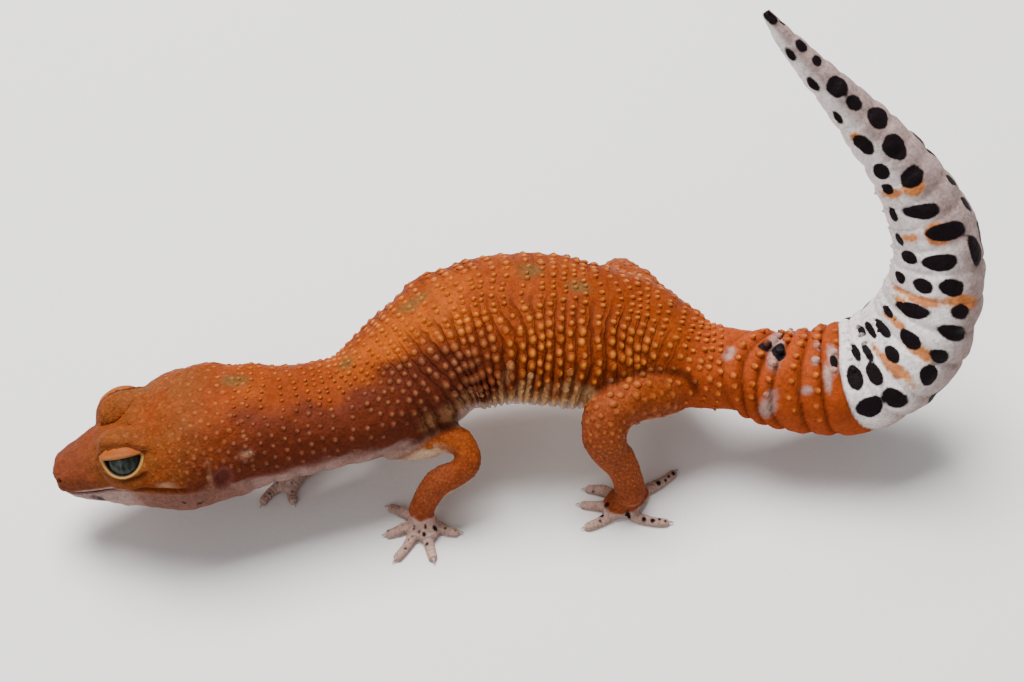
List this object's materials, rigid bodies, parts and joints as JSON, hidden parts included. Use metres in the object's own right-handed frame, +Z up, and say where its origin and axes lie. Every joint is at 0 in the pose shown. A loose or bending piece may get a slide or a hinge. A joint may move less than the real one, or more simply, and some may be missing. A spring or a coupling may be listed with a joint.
{
  "type": "leopard gecko",
  "caption": "Still life-size leopard gecko standing on its feet: low head, arched back, fat ringed tail curled up and forward, clawed toes spread flat.",
  "frame": {"origin": "middle of the bounding box in plan, at the level of the floor under the feet", "axes": "+Z up; the animal faces -X and its left side is on -Y"},
  "size_m": [0.1448, 0.0562, 0.0687],
  "materials": {
    "orange_skin": "orange scaly skin with raised tubercles, satin",
    "white_skin": "white scaly skin with black spots, satin",
    "pink_skin": "thin pinkish grey skin, satin",
    "eye": "wet gloss"
  },
  "bodies": {
    "root": {"head": "orange_skin", "neck": "orange_skin", "trunk_front": "orange_skin", "trunk_rear": "orange_skin", "tail_base": "orange_skin", "left_upper_arm": "orange_skin", "left_forearm": "orange_skin", "right_upper_arm": "orange_skin", "right_forearm": "orange_skin", "left_thigh": "orange_skin", "left_shank": "orange_skin", "right_thigh": "orange_skin", "right_shank": "orange_skin", "tail_middle": "white_skin", "tail_end": "white_skin", "lower_jaw": "pink_skin", "left_hand": "pink_skin", "right_hand": "pink_skin", "left_foot": "pink_skin", "right_foot": "pink_skin", "left_eye": "eye", "right_eye": "eye"}
  },
  "joints": []
}
